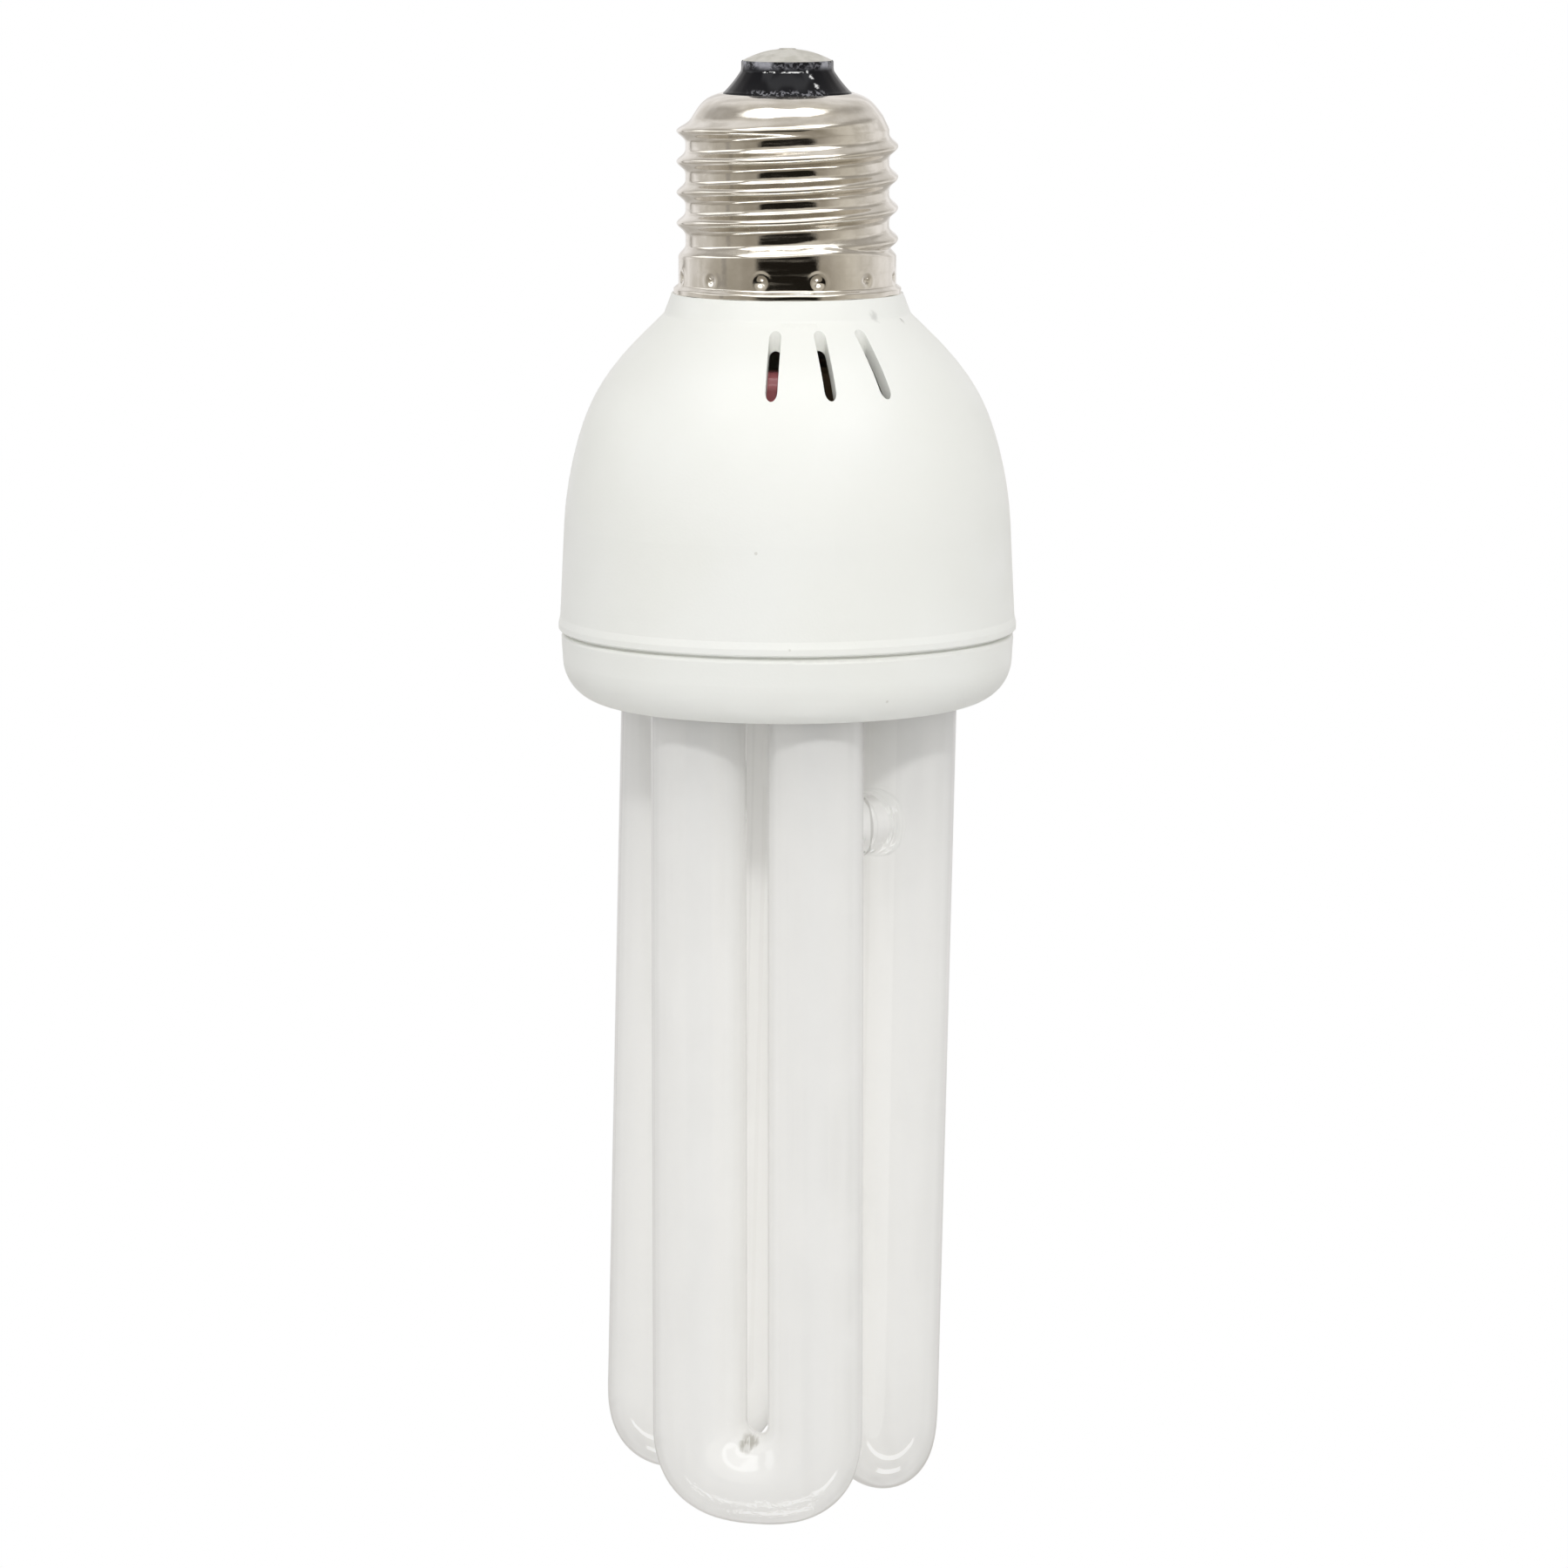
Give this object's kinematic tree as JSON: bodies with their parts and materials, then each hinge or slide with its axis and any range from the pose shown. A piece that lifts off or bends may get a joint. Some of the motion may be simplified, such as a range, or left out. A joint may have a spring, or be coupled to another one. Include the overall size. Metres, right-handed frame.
{
  "type": "reptile uvb bulb",
  "caption": "Compact reptile lamp with white coated U tubes, a vented white plastic dome and a nickel screw cap, cap up.",
  "frame": {"origin": "on the lamp's axis, level with the lowest of the tubes' bends", "axes": "+Z along the lamp's axis, from the bends to the cap; -Y is the side with the first vent slots"},
  "size_m": [0.0544, 0.0544, 0.175],
  "materials": {
    "nickel": "bright drawn nickel plate, slightly warm",
    "black_glass": "opaque black glass, glossy, with chips",
    "contact_metal": "dull tinned plate",
    "solder": "dull solder",
    "white_plastic": "satin white moulding",
    "coated_glass": "clear glass with a white coating inside",
    "silicone": "white silicone",
    "board": "brown laminate",
    "brown_sleeve": "dark shrink sleeve",
    "red_epoxy": "dipped red epoxy",
    "green_epoxy": "dipped green epoxy",
    "ferrite": "dull ferrite",
    "former": "natural moulded former",
    "copper": "enamelled copper wire",
    "black_epoxy": "moulded black epoxy",
    "resistor_body": "lacquered resistor",
    "tinned_wire": "tinned wire",
    "wire_cover": "white insulation"
  },
  "bodies": {
    "root": {"cap_shell": "nickel", "cap_insulator": "black_glass", "contact_plate": "contact_metal", "contact_solder": "solder", "dome_housing": "white_plastic", "tube_holder": "white_plastic", "discharge_vessel": "coated_glass", "tube_cement_1": "silicone", "tube_cement_2": "silicone", "tube_cement_3": "silicone", "ballast_board": "board", "smoothing_capacitor": "brown_sleeve", "start_capacitor": "red_epoxy", "coupling_capacitor": "green_epoxy", "choke_core": "ferrite", "choke_former": "former", "choke_winding": "copper", "driver_toroid": "ferrite", "transistor_1": "black_epoxy", "transistor_2": "black_epoxy", "rectifier_diodes": "black_epoxy", "resistors": "resistor_body", "input_choke": "ferrite", "fuse_resistor": "resistor_body", "tube_leads": "tinned_wire", "wrap_pins": "tinned_wire", "contact_lead": "wire_cover", "shell_lead": "wire_cover"}
  },
  "joints": []
}
